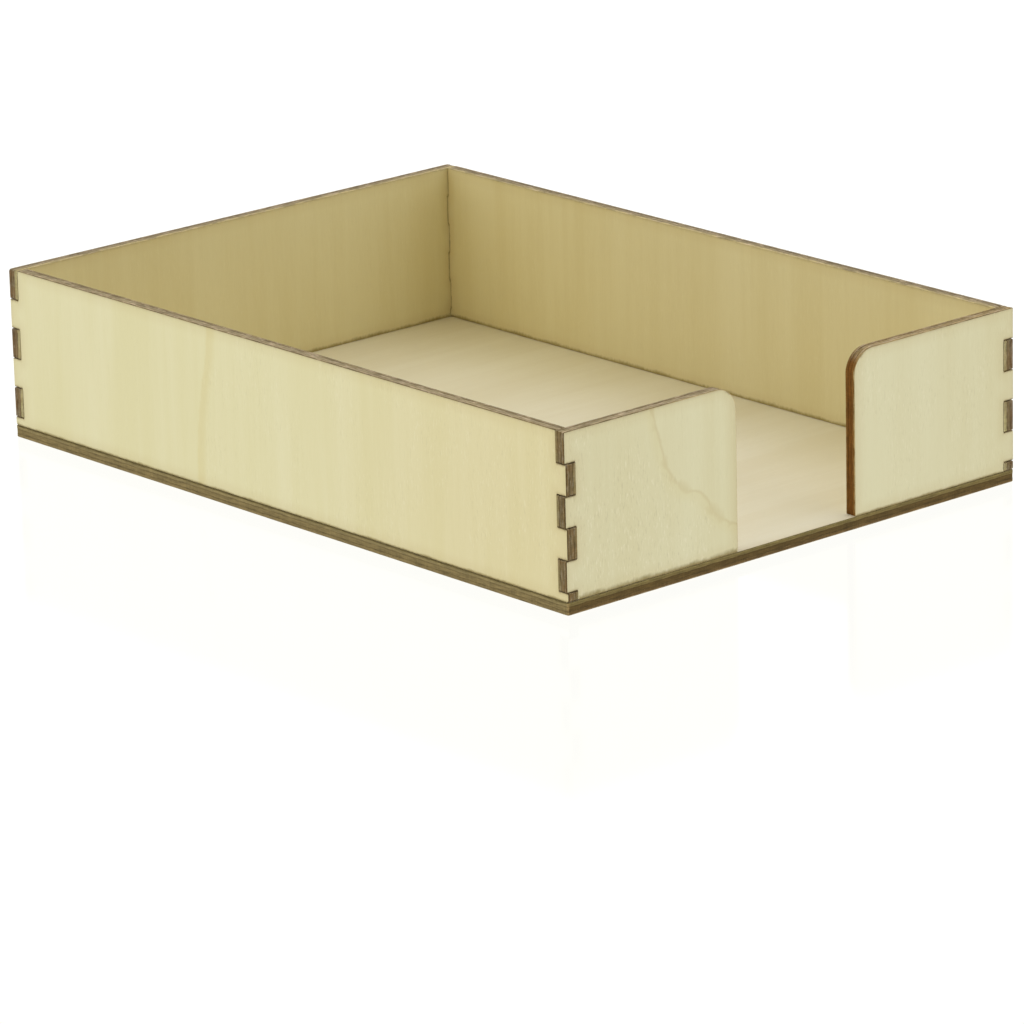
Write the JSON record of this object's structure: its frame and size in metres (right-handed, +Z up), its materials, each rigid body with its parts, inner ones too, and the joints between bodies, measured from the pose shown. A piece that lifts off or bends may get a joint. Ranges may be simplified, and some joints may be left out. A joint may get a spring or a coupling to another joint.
{
  "type": "open storage tray",
  "caption": "Low rectangular plywood tray, open at the top, with finger-jointed walls, a flat glued base and an open gap between two round-cornered front cheeks.",
  "frame": {"origin": "centre of the base panel's underside, on the surface that the tray stands on", "axes": "+Z up; +Y from the open front to the back wall, along the tray's length; +X to the right, seen from the front"},
  "size_m": [0.19, 0.27, 0.057],
  "materials": {
    "plywood_base": "unfinished three-ply plywood, laser-darkened edges",
    "plywood_wall": "unfinished three-ply plywood, laser-darkened edges",
    "plywood_cheek": "unfinished three-ply plywood, laser-darkened edges"
  },
  "bodies": {
    "root": {"base_panel": "plywood_base", "left_wall": "plywood_wall", "right_wall": "plywood_wall", "back_wall": "plywood_wall", "left_front_cheek": "plywood_cheek", "right_front_cheek": "plywood_cheek"}
  },
  "joints": []
}
